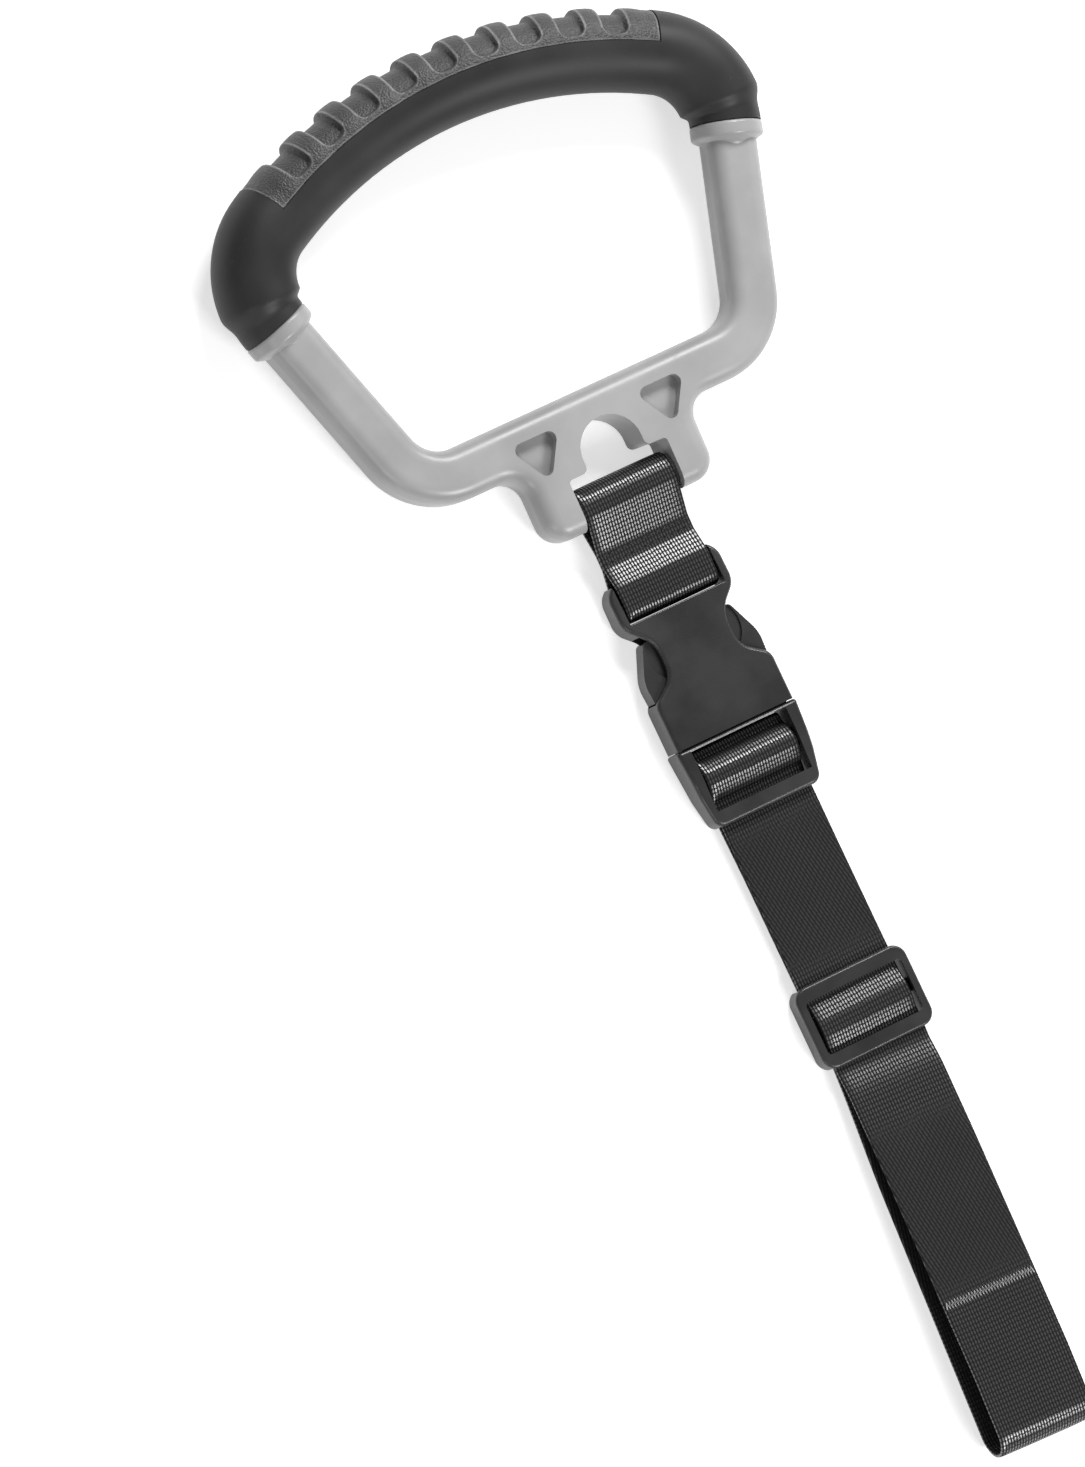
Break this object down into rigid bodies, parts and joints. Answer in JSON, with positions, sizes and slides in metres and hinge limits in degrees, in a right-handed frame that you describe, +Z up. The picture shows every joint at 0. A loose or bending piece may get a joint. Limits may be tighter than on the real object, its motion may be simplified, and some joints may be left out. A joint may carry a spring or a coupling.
{
  "type": "car assist grab bar",
  "caption": "D-shaped grab handle with a ribbed rubber grip on a buckled webbing strap that ends in a loop.",
  "frame": {"origin": "centre of the bounding box in X and Y, on the surface the part lies on", "axes": "+Y from the strap's end loop to the grip, +X across the handle, +Z up"},
  "size_m": [0.2204, 0.5404, 0.0325],
  "materials": {
    "frame_plastic": "satin moulded grey",
    "grip_rubber": "smooth matte rubber",
    "pad_rubber": "fine textured rubber",
    "webbing": "twill woven polyester webbing",
    "buckle_plastic": "satin moulded black",
    "thread": "zigzag sewing thread"
  },
  "bodies": {
    "handle": {"handle_frame": "frame_plastic", "grip_sleeve": "grip_rubber", "grip_pad": "pad_rubber"},
    "tether": {"tether_webbing": "webbing"},
    "receptacle": {"buckle_receptacle": "buckle_plastic"},
    "plug": {"buckle_plug": "buckle_plastic"},
    "latch_right": {"latch_arm_right": "buckle_plastic"},
    "latch_left": {"latch_arm_left": "buckle_plastic"},
    "strap": {"strap_webbing": "webbing", "end_bartack": "thread"},
    "slider": {"strap_slider": "buckle_plastic"}
  },
  "joints": [
    {"name": "tether_swing", "type": "hinge", "parent": "handle", "child": "tether", "pos_m": [0, 0.09935, 0.00915], "axis": [1, 0, 0], "range_deg": [-90, 90]},
    {"name": "buckle_swing", "type": "hinge", "parent": "tether", "child": "receptacle", "pos_m": [0, 0.05975, 0.00625], "axis": [1, 0, 0], "range_deg": [-60, 60]},
    {"name": "plug_release", "type": "slide", "parent": "receptacle", "child": "plug", "axis": [0, -1, 0], "range_m": [0, 0.034], "deforming": ["latch_arm_right", "latch_arm_left"]},
    {"name": "latch_press_right", "type": "hinge", "parent": "plug", "child": "latch_right", "pos_m": [0.0174, 0.01145, 0.00625], "axis": [0, 0, 1], "range_deg": [0, 10.5], "stiffness_Nm_per_rad": 0.4},
    {"name": "latch_press_left", "type": "hinge", "parent": "plug", "child": "latch_left", "pos_m": [-0.0174, 0.01145, 0.00625], "axis": [0, 0, -1], "range_deg": [0, 10.5], "stiffness_Nm_per_rad": 0.4},
    {"name": "strap_swing", "type": "hinge", "parent": "plug", "child": "strap", "pos_m": [0, -0.00665, 0.00625], "axis": [1, 0, 0], "range_deg": [0, 40]},
    {"name": "slider_slide", "type": "slide", "parent": "strap", "child": "slider", "axis": [0, 1, 0], "range_m": [0, 0.043]}
  ]
}
